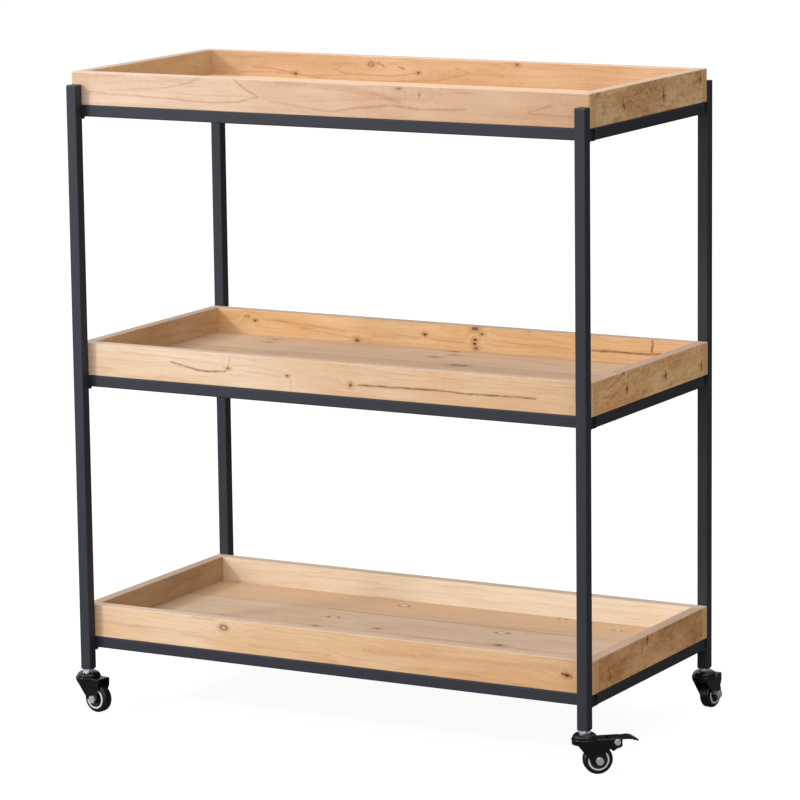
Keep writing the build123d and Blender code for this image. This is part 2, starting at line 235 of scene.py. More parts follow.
    # fibres and pores, drawn out along the grain
    fib = g.noise(g.vec(g.math("MULTIPLY_ADD", Lp, 0.016, off), g.math("MULTIPLY", Wp, 0.75), g.math("MULTIPLY", T, 0.75)), 1.0, 5.0, 0.65)
    fib2 = g.noise(g.vec(g.math("MULTIPLY_ADD", Lp, 0.05, off + 5), g.math("MULTIPLY", Wp, 2.6), g.math("MULTIPLY", T, 2.6)), 1.0, 3.0, 0.6)
    fleck = g.step(g.noise(g.vec(g.math("MULTIPLY_ADD", Lp, 0.14, off + 8), g.math("MULTIPLY", Wp, 1.1), g.math("MULTIPLY", T, 1.1)), 1.0, 2.0), 0.63, 0.74)
    fleckmask = g.step(g.noise(g.vec(g.math("MULTIPLY_ADD", Lp, 0.010, off + 21), g.math("MULTIPLY", Wp, 0.05), 0.0), 1.0, 2.0), 0.40, 0.62)
    patch = g.noise(g.vec(g.math("MULTIPLY_ADD", Lp, 0.0075, off + 3), g.math("MULTIPLY", Wp, 0.022), g.math("MULTIPLY", T, 0.02)), 1.0, 3.0)
    body = g.mix(g.step(patch, 0.30, 0.70), light, mid)
    if tint is not None:
        body = g.mix(g.step(tint, 0.0, 1.0), body, warm or mid)
    elif warm is not None:
        body = g.mix(g.step(g.noise(g.vec(g.math("MULTIPLY_ADD", Lp, 0.004, off + 12), 0.0, 0.0), 1.0, 2.0), 0.40, 0.66), body, warm)
    col = g.mix(g.math("MULTIPLY", late, ring), body, dark)
    col = g.mix(g.math("MULTIPLY", g.step(fib, 0.50, 0.78), 0.40 * fig), col, dark)
    col = g.mix(g.math("MULTIPLY", g.step(fib, 0.50, 0.26), 0.22 * fig), col, light)
    col = g.mix(g.math("MULTIPLY", g.step(fib2, 0.42, 0.72), 0.14 * fig), col, dark)
    col = g.mix(g.math("MULTIPLY", g.math("MULTIPLY", fleck, fleckmask), 0.42 * fig), col, dark)
    if saw:
        # faint band-saw ridges square to the grain
        s1 = g.noise(g.vec(g.math("MULTIPLY", L, 0.85), g.math("MULTIPLY_ADD", W, 0.05, off), 0.0), 1.0, 2.0, 0.6)
        sm = g.step(g.noise(g.vec(g.math("MULTIPLY_ADD", L, 0.008, off + 31), g.math("MULTIPLY", W, 0.02), 0.0), 1.0, 2.0), 0.34, 0.60)
        s1 = g.math("MULTIPLY", g.step(s1, 0.46, 0.66), sm)
        col = g.mix(g.math("MULTIPLY", s1, saw), col, dark)
    else:
        s1 = None
    if mottle > 0.3:
        # the curl runs out towards the inner face of the board
        mottle = g.math("MULTIPLY_ADD", g.step(T, -3.0, 6.0), mottle * 0.7, mottle * 0.25)
    if mottle:
        # curly, blotched figure of a board cut through crooked grain
        m1 = g.noise(g.vec(g.math("MULTIPLY_ADD", L, 0.060, off), g.math("MULTIPLY", W, 0.105), 0.0), 1.0, 4.0, 0.62, 1.1)
        m2 = g.noise(g.vec(g.math("MULTIPLY_ADD", L, 0.17, off + 4), g.math("MULTIPLY", W, 0.26), 0.0), 1.0, 3.0, 0.6, 0.8)
        col = g.mix(g.math("MULTIPLY", g.step(m1, 0.50, 0.72), mottle), col, dark)
        col = g.mix(g.math("MULTIPLY", g.step(m1, 0.50, 0.30), g.math("MULTIPLY", mottle, 0.95)), col, light)
        col = g.mix(g.math("MULTIPLY", g.step(m2, 0.52, 0.74), g.math("MULTIPLY", mottle, 0.42)), col, dark)
        col = g.mix(g.math("MULTIPLY", g.step(m2, 0.48, 0.28), g.math("MULTIPLY", mottle, 0.85)), col, light)
    # drawn figure: resin lines, shakes and the ring edges that show most
    crack = stain = None
    if lines:
        wx = g.math("MULTIPLY", g.math("SUBTRACT", g.noise(g.vec(g.math("MULTIPLY", L, 0.035), g.math("MULTIPLY_ADD", W, 0.05, off), 0.0), 1.0, 2.0), 0.5), 3.4)
        Wn = g.math("ADD", W, wx)
        brk = g.math("MULTIPLY_ADD", g.noise(g.vec(g.math("MULTIPLY_ADD", L, 0.11, off + 7), g.math("MULTIPLY", W, 0.11), 0.0), 1.0, 2.0), 1.5, 0.10, clamp=True)
        for pts, width, strength in lines:
            for (ax, ay), (bx, by) in zip(pts[:-1], pts[1:]):
                vx, vy = bx - ax, by - ay
                ln = vx * vx + vy * vy
                px = g.math("SUBTRACT", L, ax)
                py = g.math("SUBTRACT", Wn, ay)
                t = g.math("ADD", g.math("MULTIPLY", px, vx / ln), g.math("MULTIPLY", py, vy / ln), clamp=True)
                qx = g.math("MULTIPLY_ADD", t, -vx, px)
                qy = g.math("MULTIPLY_ADD", t, -vy, py)
                d = g.math("SQRT", g.math("ADD", g.math("MULTIPLY", qx, qx), g.math("MULTIPLY", qy, qy)))
                k = g.math("MULTIPLY", g.step(d, width * 1.7, width * 0.10), strength)
                if strength >= 0.7:
                    crack = most(crack, k)
                else:
                    stain = most(stain, g.math("MULTIPLY", k, 0.85))
        if stain is not None:
            col = g.mix(g.math("MULTIPLY", stain, brk), col, lin(176, 98, 54))
        if crack is not None:
            col = g.mix(g.math("MULTIPLY", crack, brk), col, lin(112, 56, 34))
    if khalo is not None:
        col = g.mix(khalo, col, lin(160, 92, 46))
    if kcore is not None:
        col = g.mix(kcore, col, lin(74, 38, 24))
    if kridge is not None:
        col = g.mix(g.math("MULTIPLY", kridge, 0.9), col, lin(104, 62, 40))
    if kpale is not None:
        col = g.mix(kpale, col, lin(246, 236, 222))
    if painted_light_falloff is not None:
        # painted light falloff: the board is painted brighter at its lit end and darker at the other, its tint
        # shifting along it
        a, b = painted_light_falloff
        tone = g.mix(g.step(L, -380.0, 380.0), (*a, 1.0), (*b, 1.0))
        col = g.mix(1.0, col, tone, "MULTIPLY")
    if seam is not None:
        col = g.mix(g.math("MULTIPLY", seam, 0.55), col, lin(112, 74, 46))
    if painted_lit_rim is not None:
        # painted top light: the top edge is painted paler and greyer than the faces, as if light from above falls on
        # it
        top_light_mask = g.step(g.math("ADD", W, g.math("MULTIPLY", fib, 0.6)), 22.1, 22.9)
        col = g.mix(g.math("MULTIPLY", top_light_mask, 0.8), col, g.mix(fib, painted_lit_rim, (painted_lit_rim[0] * 0.72, painted_lit_rim[1] * 0.68, painted_lit_rim[2] * 0.66, 1)))
    if axis == X_LONG:
        # the cut ends: browner, with the rings crossing them
        tip = g.step(g.math("ABSOLUTE", L), 399.4, 400.2)
        ends = g.mix(g.step(g.noise(g.vec(0.0, g.math("MULTIPLY", W, 0.5), g.math("MULTIPLY_ADD", T, 0.22, off)), 1.0, 4.0, 0.6), 0.34, 0.66), lin(240, 192, 138), lin(204, 152, 100))
        col = g.mix(g.math("MULTIPLY", tip, 0.92), col, ends)
    rough = g.math("MULTIPLY_ADD", fib, 0.22, 0.44)
    rough = g.math("SUBTRACT", rough, g.math("MULTIPLY", late, 0.10))
    h = g.math("ADD", g.math("MULTIPLY", fib, 0.9), g.math("MULTIPLY", late, 0.5))
    h = g.math("SUBTRACT", h, g.math("MULTIPLY", fleck, 0.5))
    if seam is not None:
        h = g.math("SUBTRACT", h, g.math("MULTIPLY", seam, 1.6))
    if s1 is not None:
        h = g.math("SUBTRACT", h, g.math("MULTIPLY", s1, 0.5))
    if crack is not None:
        h = g.math("SUBTRACT", h, g.math("MULTIPLY", crack, 1.2))
    if kcore is not None:
        h = g.math("SUBTRACT", h, g.math("MULTIPLY", kcore, 1.2))
    n = g.bump(h, 0.30, 0.0006)
    g.set(Base_Color=col, Roughness=rough, Normal=n)
    g.bsdf.inputs["Specular IOR Level"].default_value = 0.28
    return g.mat


# ------------------------------------------------------------------ metal, plastic
def powder(name, base, seed=0.0, along=2, rough=0.56):
    """Fine satin powder coat on drawn tube: orange-peel, faint draw lines
    and rubbed patches."""
    g = Graph(name)
    mm = g.vmath("SCALE", g.coord, s=1000.0)
    x, y, z = g.xyz(mm)
    c = [x, y, z]
    st = [g.math("MULTIPLY", v, 0.012 if i == along else 1.3) for i, v in enumerate(c)]
    draw = g.noise(g.vec(*st), 1.0, 3.0, 0.55)
    blot = g.noise(g.vmath("ADD", mm, (seed * 31.0, seed * 17.0, 0.0)), 0.035, 4.0, 0.6)
    peel = g.noise(mm, 1.15, 2.0, 0.5)
    grit = g.noise(mm, 4.2, 1.0, 0.5)
    scuff = g.step(g.noise(g.vec(*[g.math("MULTIPLY", v, 0.05 if i == along else 0.9) for i, v in enumerate(c)]), 1.0, 3.0, 0.7), 0.66, 0.80)
    a = (base[0] * 0.80, base[1] * 0.80, base[2] * 0.80, 1)
    b = (base[0] * 1.28, base[1] * 1.28, base[2] * 1.28, 1)
    col = g.mix(blot, a, b)
    col = g.mix(g.math("MULTIPLY", g.step(draw, 0.35, 0.75), 0.25), col, (base[0] * 1.7, base[1] * 1.7, base[2] * 1.72, 1))
    col = g.mix(g.math("MULTIPLY", scuff, 0.16), col, (base[0] * 2.8, base[1] * 2.8, base[2] * 2.8, 1))
    r = g.math("ADD", g.math("MULTIPLY_ADD", blot, 0.16, rough - 0.08), g.math("MULTIPLY", scuff, -0.06))
    h = g.math("ADD", g.math("MULTIPLY", peel, 0.7), g.math("MULTIPLY", grit, 0.35))
    h = g.math("ADD", h, g.math("MULTIPLY", draw, 0.5))
    g.set(Base_Color=col, Roughness=r, Normal=g.bump(h, 0.25, 0.00025))
    g.bsdf.inputs["Specular IOR Level"].default_value = 0.36
    return g.mat


def gloss_black(name, base=(0.0030, 0.0030, 0.0042), rough=0.20, coat=0.30):
    g = Graph(name)
    mm = g.vmath("SCALE", g.coord, s=1000.0)
    blot = g.noise(mm, 0.16, 4.0, 0.6)
    peel = g.noise(mm, 0.55, 2.0, 0.5)
    dust = g.step(g.noise(mm, 1.9, 2.0, 0.6), 0.62, 0.78)
    col = g.mix(blot, (base[0] * 0.7, base[1] * 0.7, base[2] * 0.7, 1), (base[0] * 1.7, base[1] * 1.7, base[2] * 1.7, 1))
    col = g.mix(g.math("MULTIPLY", dust, 0.06), col, (0.10, 0.10, 0.105, 1))
    r = g.math("ADD", g.math("MULTIPLY_ADD", blot, 0.16, rough - 0.06), g.math("MULTIPLY", dust, 0.10))
    g.bsdf.inputs["Specular IOR Level"].default_value = 0.22
    g.set(Base_Color=col, Roughness=r, Normal=g.bump(peel, 0.30, 0.0004))
    g.bsdf.inputs["Coat Weight"].default_value = coat
    g.bsdf.inputs["Coat Roughness"].default_value = 0.08
    return g.mat


def matte_plastic(name, base, rough=0.55):
    g = Graph(name)
    mm = g.vmath("SCALE", g.coord, s=1000.0)
    fine = g.noise(mm, 3.0, 2.0, 0.6)
    blot = g.noise(mm, 0.22, 3.0, 0.5)
    col = g.mix(blot, (base[0] * 0.75, base[1] * 0.75, base[2] * 0.75, 1), (base[0] * 1.35, base[1] * 1.35, base[2] * 1.35, 1))
    r = g.math("MULTIPLY_ADD", blot, 0.2, rough - 0.1)
    g.set(Base_Color=col, Roughness=r, Normal=g.bump(fine, 0.3, 0.0002))
    return g.mat


def zinc(name):
    """Bright zinc plate: pale, slightly bluish, soft crystalline mottling."""
    g = Graph(name)
    mm = g.vmath("SCALE", g.coord, s=1000.0)
    n = g.t.nodes.new("ShaderNodeTexVoronoi")
    g.put(n.inputs["Vector"], mm)
    n.inputs["Scale"].default_value = 1.1
    cell = n.outputs["Color"]
    v = g.t.nodes.new("ShaderNodeRGBToBW")
    g.put(v.inputs[0], cell)
    blot = g.noise(mm, 0.5, 3.0, 0.6)
    col = g.mix(v.outputs[0], (0.74, 0.77, 0.81, 1), (0.95, 0.96, 0.98, 1))
    col = g.mix(g.math("MULTIPLY", g.step(blot, 0.5, 0.8), 0.3), col, (0.60, 0.61, 0.62, 1))
    r = g.math("ADD", g.math("MULTIPLY", v.outputs[0], 0.10), g.math("MULTIPLY_ADD", blot, 0.22, 0.14))
    fine = g.noise(mm, 2.6, 2.0, 0.6)
    g.set(Base_Color=col, Roughness=r, Metallic=0.88, Normal=g.bump(fine, 0.25, 0.0002))
    return g.mat


def rubber(name):
    g = Graph(name)
    mm = g.vmath("SCALE", g.coord, s=1000.0)
    blot = g.noise(mm, 0.14, 4.0, 0.6)
    fine = g.noise(mm, 2.2, 3.0, 0.6)
    dust = g.step(g.noise(mm, 0.6, 3.0, 0.7), 0.52, 0.78)
    col = g.mix(blot, (0.004, 0.004, 0.0045, 1), (0.011, 0.011, 0.012, 1))
    col = g.mix(g.math("MULTIPLY", dust, 0.10), col, (0.11, 0.105, 0.10, 1))
    r = g.math("MULTIPLY_ADD", dust, 0.25, 0.30)
    g.bsdf.inputs["Specular IOR Level"].default_value = 0.35
    g.set(Base_Color=col, Roughness=r, Normal=g.bump(fine, 0.3, 0.0003))
    return g.mat


def wheel_core(name, centre, axis):
    """Moulded core: pale ring at the tyre, dark recess and hub."""
    g = Graph(name)
    mm = g.vmath("SCALE", g.vmath("SUBTRACT", g.coord, tuple(centre)), s=1000.0)
    ax = g.vmath("DOT_PRODUCT", mm, tuple(axis))
    along = g.vmath("SCALE", tuple(axis), s=ax)
    rad = g.vmath("LENGTH", g.vmath("SUBTRACT", mm, along))
    blot = g.noise(mm, 0.35, 3.0, 0.6)
    fine = g.noise(mm, 2.4, 2.0, 0.6)
    ring = g.step(rad, 11.9, 12.15)
    # darkens the cream ring towards its inner and outer edges, where it meets the dark recess and the tyre
    ring_edge_darkening = g.step(g.math("ABSOLUTE", g.math("SUBTRACT", rad, 13.2)), 0.85, 1.35)
    cream = g.mix(blot, lin(228, 221, 212), lin(246, 241, 234))
    cream = g.mix(g.math("MULTIPLY", ring_edge_darkening, 0.45), cream, lin(120, 113, 102))
    black = g.mix(blot, (0.012, 0.012, 0.013, 1), (0.030, 0.029, 0.030, 1))
    g.set(Base_Color=g.mix(ring, black, cream), Roughness=g.math("MULTIPLY_ADD", blot, 0.25, 0.28), Normal=g.bump(fine, 0.2, 0.0002))
    return g.mat


# ------------------------------------------------------------------ assign to the CAD nodes
SIDE_L = lin(206, 174, 136)
SIDE_M = lin(190, 156, 116)
SIDE_D = lin(120, 76, 44)
RIGHT_L = lin(255, 212, 158)
RIGHT_M = lin(212, 158, 104)
RIGHT_D = lin(148, 86, 46)
FLOOR_L = lin(234, 208, 182)
FLOOR_M = lin(222, 192, 160)
FLOOR_D = lin(172, 122, 86)


def centre_of(name):
    lo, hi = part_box(name)
    return tuple((lo + hi) / 2)


X_LONG = (0, 2, 1)     # grain along X, face up Z, thickness through Y
Y_LONG = (1, 2, 0)
FLAT_X = (0, 1, 2)     # panel: grain along X, planks across Y

# grain lines: (points, width, darkness); knots: (along, across, radius, darkness, kind)
LINES = {
    "tray_top_front_board": (
        (((-139.6, 22.6), (-120.7, 9.8), (-99.5, -0.4)), 1.5, 0.6),
        (((-99.5, -0.4), (-132.4, -9.1), (-167.5, -11.7), (-255.6, -8.2), (-371.9, -4.8)), 1.6, 0.5),
        (((-248.3, 5.8), (-213.7, 13.0), (-192.9, 20.7)), 1.4, 0.4),
        (((-336.6, -0.5), (-248.3, 5.8)), 1.4, 0.25),
        (((-72.2, 19.2), (23.9, 16.1), (77.4, 8.8)), 3.4, 0.28),
        (((34.6, 16.5), (68.3, 13.8), (118.3, 1.1)), 3.0, 0.32),
        (((12.5, -16.6), (52.6, -9.6), (106.7, -4.3), (152.0, -8.2), (216.3, -5.6)), 1.6, 0.55),
        (((311.2, -4.4), (346.8, 6.3)), 1.3, 0.4),
        (((311.2, -6.0), (375.7, -8.3)), 1.5, 0.45),
        (((-360.6, 18.7), (-311.6, 19.8)), 2.2, 0.3),
        (((204.1, 16.4), (230.9, 17.5)), 1.5, 0.35),
        (((114.0, 18.8), (121.5, 19.1)), 2.0, 0.6),
        (((149.1, 15.6), (149.0, 7.7)), 1.2, 0.5),
        (((-80.6, -5.5), (12.5, -16.6)), 1.5, 0.35),
        (((180.3, 21.5), (357.2, 25.0)), 1.3, 0.3),
    ),
    "tray_top_back_board": (
        (((-334.1, -6.8), (-285.9, -5.9), (-242.9, -6.6)), 1.2, 0.5),
        (((-314.5, 1.2), (-277.4, -1.2), (-242.9, -6.1), (-200.3, -12.3)), 1.3, 0.6),
        (((-178.7, 1.9), (-161.1, -2.8), (-138.8, -3.8), (-85.2, -4.9), (-41.1, 1.8)), 1.2, 0.6),
        (((-178.7, 1.9), (-167.6, 5.6)), 1.2, 0.5),
        (((-186.1, -14.8), (-103.9, -12.8), (-11.6, -8.2), (42.5, 3.8), (18.6, 10.0)), 1.3, 0.5),
        (((-108.4, 13.5), (-97.1, 9.6)), 1.3, 0.7),
        (((-72.7, 9.0), (-64.6, 6.5)), 1.3, 0.7),
        (((42.5, 2.6), (93.7, 2.3)), 1.0, 0.35),
        (((97.0, 20.0), (123.8, 19.6)), 2.0, 0.35),
    ),
    "tray_top_right_board": (
        (((-84.5, 4.0), (-80.0, -8.4)), 1.6, 0.8),
        (((40.7, 9.2), (42.9, -8.5)), 1.8, 0.8),
        (((159.2, 17.1), (160.8, 3.2)), 3.0, 0.5),
        (((42.9, -12.6), (-32.4, -15.8)), 1.4, 0.3),
    ),
    "tray_middle_front_board": (
        (((-249.6, 5.1), (-208.1, -3.1), (-192.0, -3.9), (-162.0, -2.2)), 1.3, 0.75),
        (((-162.0, -2.2), (-157.2, 3.5), (-153.4, 19.8)), 1.2, 0.55),
        (((-127.6, 0.7), (-71.1, -3.0)), 1.1, 0.35),
        (((-57.4, -6.1), (-57.7, -20.0)), 1.2, 0.35),
        (((36.6, -2.0), (34.6, -10.4)), 1.6, 0.6),
        (((47.8, -5.9), (59.8, -5.3), (103.9, -4.9), (169.2, -4.0)), 1.5, 0.8),
        (((169.2, -4.0), (223.4, -5.2), (266.1, -4.6), (317.1, -4.0)), 1.4, 0.75),
        (((-332.5, 13.5), (-218.1, 10.2)), 1.2, 0.25),
        (((173.9, 13.4), (353.0, 9.0)), 1.0, 0.25),
        (((-43.2, -30.1), (142.9, -32.5)), 1.1, 0.25),
    ),
    "tray_middle_back_board": (
        (((323.3, 24.7), (323.1, 14.2), (321.6, 5.9)), 1.6, 0.85),
        (((230.0, 1.4), (272.5, 1.8), (321.6, 2.4), (337.0, 3.5)), 1.7, 0.8),
        (((43.9, 23.9), (48.6, 17.0)), 2.4, 0.5),
        (((74.2, 4.3), (194.7, 1.1)), 1.4, 0.4),
        (((-86.5, 2.1), (27.5, -1.8)), 1.3, 0.3),
        (((-286.7, 10.9), (-169.2, 2.4)), 1.6, 0.35),
        (((-244.6, 1.8), (-161.0, -5.9)), 1.5, 0.35),
    ),
    "tray_middle_right_board": (
        (((-138.0, 6.6), (-93.3, 19.0)), 1.6, 0.6),
        (((-66.7, 18.6), (-41.2, 18.3)), 1.5, 0.55),
        (((-78.3, 2.4), (-79.3, -6.2)), 2.0, 0.9),
        (((43.7, 3.6), (43.0, -7.3)), 1.8, 0.85),
        (((51.1, 20.4), (55.9, 5.9)), 1.4, 0.4),
        (((160.8, -0.6), (161.2, -14.8)), 2.4, 0.7),
        (((-148.6, 5.6), (-148.7, -1.1)), 1.6, 0.5),
    ),
    "tray_bottom_front_board": (
        (((-223.1, 21.0), (-182.9, 22.2)), 1.5, 0.5),
        (((52.2, 2.6), (216.0, 4.7), (370.9, 8.9)), 3.5, 0.3),
        (((354.5, 2.3), (367.9, -0.3)), 2.2, 0.85),
        (((-326.2, -1.0), (-210.5, -0.7)), 2.0, 0.25),
        (((-129.5, -10.8), (-1.6, -10.1)), 2.0, 0.3),
        (((108.0, -16.7), (231.0, -14.5)), 1.6, 0.25),
    ),
    "tray_bottom_back_board": (
        (((-250.8, 8.0), (-115.9, 9.0)), 1.6, 0.2),
    ),
    "tray_bottom_left_board": (
        (((61.3, 8.9), (106.5, 8.8)), 1.8, 0.6),
        (((-38.4, 5.4), (44.4, 6.3)), 1.6, 0.35),
    ),
    "tray_bottom_right_board": (
        (((-13.9, 22.7), (-14.0, 11.3)), 2.2, 0.85),
        (((-130.7, -5.2), (-131.1, -13.4)), 2.8, 0.6),
        (((26.2, 21.8), (124.6, 17.9)), 1.6, 0.4),
        (((-100.6, 7.5), (-6.0, 0.6)), 1.6, 0.3),
    ),
    "tray_bottom_floor": (
        (((-147.3, 73.3), (54.2, 69.7), (248.7, 72.6)), 3.0, 0.5),
        (((46.1, 72.7), (238.7, 90.6)), 7.0, 0.22),
    ),
    "tray_middle_floor": (
        (((-298.6, 21.1), (-283.2, 20.5)), 2.0, 0.6),
        (((-280.3, 140.4), (-265.6, 141.2)), 2.4, 0.45),
        (((-274.6, 113.5), (-260.4, 112.1)), 2.6, 0.4),
        (((8.8, 152.7), (24.6, 153.3)), 2.6, 0.6),
        (((22.1, 127.6), (37.5, 128.9)), 2.4, 0.5),
        (((64.7, 41.3), (93.5, 61.8)), 2.0, 0.5),
        (((186.1, 152.0), (204.6, 155.9)), 4, 0.2),
    ),
}
KNOTS = {
    "tray_top_back_board": (
        (-242.9, -6.6, 1.8, 0.9, "dark"),
        (-117.6, 11.8, 3.2, 0.7, "ring"),
        (-41.1, 1.8, 1.7, 0.8, "dark"),
        (116.1, 19.0, 2.6, 0.5, "dark"),
    ),
    "tray_top_front_board": (
        (149.1, 11.6, 1.2, 0.4, "dark"),
        (117.9, 18.9, 1.3, 0.5, "dark"),
    ),
    "tray_top_right_board": (
        (-82.1, -2.1, 1.9, 0.9, "dark"),
        (42.3, -1.7, 2.1, 0.9, "dark"),
        (159.8, 9.9, 2.8, 0.6, "dark"),
    ),
    "tray_middle_front_board": (
        (-157.0, 2.7, 1.7, 0.6, "dark"),
        (-63.0, -0.6, 1.6, 0.8, "dark"),
        (36.5, -6.6, 2.2, 0.6, "dark"),
    ),
    "tray_middle_back_board": (
        (-334.1, 13.1, 2.4, 0.5, "ring"),
        (-320.2, 8.1, 1.7, 0.85, "dark"),
        (-149.3, -9.9, 2.8, 0.7, "dark"),
        (-37.3, 6.3, 2.0, 0.95, "dark"),
        (43.8, 20.4, 3.4, 0.7, "dark"),
        (54.5, 12.9, 1.8, 0.8, "dark"),
        (43.7, 3.8, 2.0, 0.9, "dark"),
        (43.0, -1.7, 2.0, 0.9, "dark"),
        (45.2, -8.4, 2.8, 0.6, "dark"),
        (130.1, 21.8, 1.3, 0.4, "dark"),
    ),
    "tray_middle_right_board": (
        (-89.0, 22.1, 2.3, 0.8, "dark"),
        (-78.6, -2.0, 1.9, 0.9, "dark"),
        (43.7, -2.6, 2.0, 0.9, "dark"),
        (161.1, -7.7, 2.4, 0.6, "dark"),
        (57.6, 20.8, 1.6, 0.5, "dark"),
    ),
    "tray_bottom_front_board": (
        (-171.6, 11.0, 4.2, 0.8, "ring"),
        (362.1, 0.5, 2.4, 0.9, "dark"),
    ),
    "tray_bottom_right_board": (
        (-13.9, 17.3, 2.0, 0.8, "dark"),
        (-130.8, -9.3, 2.4, 0.5, "dark"),
        (123.9, 26.9, 1.8, 0.6, "dark"),
    ),
    "tray_bottom_floor": (
        (-116.0, 28.6, 5.0, 0.9, "pale"),
        (-59.3, 136.2, 5.0, 0.75, "pale"),
        (146.7, 45.6, 5.6, 0.9, "pale"),
        (184.5, 160.7, 4.0, 0.9, "pale"),
        (285.9, 130.2, 4.0, 0.8, "pale"),
        (-112.7, -30.6, 3.2, 0.6, "dark"),
        (-25.2, -6.8, 3.4, 0.6, "dark"),
        (174.9, -19.9, 4.4, 0.7, "dark"),
    ),
    "tray_middle_floor": (
        (13.7, 101.2, 4.5, 0.55, "dark"),
        (77.2, 52.5, 6.5, 0.8, "ring"),
        (17.3, 152.8, 3.0, 0.6, "dark"),
        (30.2, 128.4, 3.0, 0.5, "dark"),
        (-267.1, 115.9, 4.0, 0.5, "dark"),
        (-272.3, 141.1, 3.5, 0.5, "dark"),
    ),
}

# painted top light: paler, greyer colours for the boards' top edges
PAINTED_LIT_RIM = lin(212, 190, 170)
PAINTED_LIT_RIM_SIDE = lin(196, 174, 156)
# the two colour scales given for a board's ends are painted light: the key light's falloff along the board, painted
# brighter at one end and darker at the other
spec = {
    # top tray
    "tray_top_front_board": dict(axis=X_LONG, seed=1.0, light=lin(225, 192, 165), mid=lin(214, 176, 145), dark=lin(170, 112, 76), spacing=8.5,
                                 pith=(-16, 34), tilt=0.020, ring=0.42, wander=20, saw=0.16, painted_lit_rim=PAINTED_LIT_RIM, painted_light_falloff=((1.06, 1.12, 1.15), (0.94, 0.88, 0.78))),
    "tray_top_back_board": dict(axis=X_LONG, seed=2.0, light=lin(206, 175, 140), mid=lin(196, 159, 120), dark=lin(150, 98, 60), spacing=6.0, pith=(20, -46),
                                tilt=0.012, ring=0.45, wander=22, saw=0.14, painted_lit_rim=PAINTED_LIT_RIM),
    "tray_top_left_board": dict(axis=Y_LONG, seed=3.0, light=SIDE_L, mid=SIDE_M, dark=SIDE_D, spacing=5.4, pith=(16, -60), mottle=0.16, ring=0.3, painted_lit_rim=PAINTED_LIT_RIM_SIDE),
    "tray_top_right_board": dict(axis=Y_LONG, seed=4.0, light=RIGHT_L, mid=RIGHT_M, dark=RIGHT_D, spacing=6.6, pith=(8, 58),
                                 ring=0.35, wander=30, mottle=0.62, painted_lit_rim=PAINTED_LIT_RIM_SIDE),
    # middle tray
    "tray_middle_front_board": dict(axis=X_LONG, seed=5.0, light=lin(232, 202, 169), mid=lin(226, 188, 150), dark=lin(180, 116, 70), spacing=5.2,
                                    pith=(26, 62), tilt=0.008, ring=0.42, painted_lit_rim=PAINTED_LIT_RIM, saw=0.10, painted_light_falloff=((1.04, 1.11, 1.20), (0.93, 0.85, 0.75))),
    "tray_middle_back_board": dict(axis=X_LONG, seed=6.0, light=lin(240, 200, 150), mid=lin(233, 184, 126), dark=lin(176, 106, 54), spacing=4.6, pith=(-30, -52),
                                   ring=0.55, painted_lit_rim=PAINTED_LIT_RIM, painted_light_falloff=((1.0, 1.04, 1.10), (0.92, 0.94, 0.96))),
    "tray_middle_left_board": dict(axis=Y_LONG, seed=7.0, light=lin(226, 192, 152), mid=lin(208, 170, 128), dark=SIDE_D, spacing=4.4, pith=(-20, -64), mottle=0.14, ring=0.35, painted_lit_rim=PAINTED_LIT_RIM_SIDE),
    "tray_middle_right_board": dict(axis=Y_LONG, seed=8.0, light=lin(255, 212, 152), mid=lin(240, 172, 112), dark=RIGHT_D, spacing=6.0, pith=(-10, 60),
                                    ring=0.45, wander=30, mottle=0.48, painted_lit_rim=PAINTED_LIT_RIM_SIDE),
    # bottom tray
    "tray_bottom_front_board": dict(axis=X_LONG, seed=9.0, light=lin(230, 195, 157), mid=lin(223, 180, 136), dark=lin(182, 118, 70), spacing=4.6,
                                    pith=(30, 66), tilt=0.01, ring=0.45, wander=12, painted_lit_rim=PAINTED_LIT_RIM, saw=0.06, painted_light_falloff=((1.07, 1.13, 1.22), (0.93, 0.845, 0.73))),
    "tray_bottom_back_board": dict(axis=X_LONG, seed=10.0, light=lin(244, 222, 194), mid=lin(238, 212, 180), dark=lin(190, 134, 88), spacing=6.4,
                                   pith=(24, -70), ring=0.4, painted_lit_rim=PAINTED_LIT_RIM, painted_light_falloff=((0.98, 1.02, 1.06), (1.0, 1.09, 1.14))),
    "tray_bottom_left_board": dict(axis=Y_LONG, seed=11.0, light=lin(200, 166, 128), mid=lin(182, 148, 109), dark=SIDE_D, spacing=5.0, pith=(12, -58), mottle=0.14, ring=0.35, painted_lit_rim=PAINTED_LIT_RIM_SIDE),
    "tray_bottom_right_board": dict(axis=Y_LONG, seed=12.0, light=lin(250, 192, 134), mid=lin(204, 142, 86), dark=lin(126, 70, 32), spacing=6.2, pith=(14, 62),
                                    ring=0.35, wander=30, mottle=0.55, painted_lit_rim=PAINTED_LIT_RIM_SIDE),
    # floors, glued from lengthwise planks
    "tray_top_floor": dict(axis=FLAT_X, seed=13.0, light=FLOOR_L, mid=FLOOR_M, dark=FLOOR_D, spacing=6.5, pith=(0, 46), warm=lin(222, 176, 128),
                           planks=(97.0, 30.0), ring=0.4, knots=((-200, 60, 4.0, 0.8, "ring"), (150, -40, 5.0, 0.8, "dark"), (310, 110, 3.0, 0.7, "dark"))),
    "tray_middle_floor": dict(axis=FLAT_X, seed=14.0, light=FLOOR_L, mid=FLOOR_M, dark=FLOOR_D, spacing=7.0, pith=(0, 44), warm=lin(222, 186, 150),
                              planks=(97.0, 10.0), ring=0.35),
    "tray_bottom_floor": dict(axis=FLAT_X, seed=15.0, light=FLOOR_L, mid=FLOOR_M, dark=FLOOR_D, spacing=6.0, pith=(0, 48), warm=lin(226, 190, 152),
                              planks=(97.0, -1072.0 + 970.0), ring=0.4),
}
for node, kw in spec.items():
    kw.setdefault("knots", KNOTS.get(node, ()))
    paint(nodes[node], wood("wood_" + node, centre=centre_of(node), lines=LINES.get(node, ()), **kw))

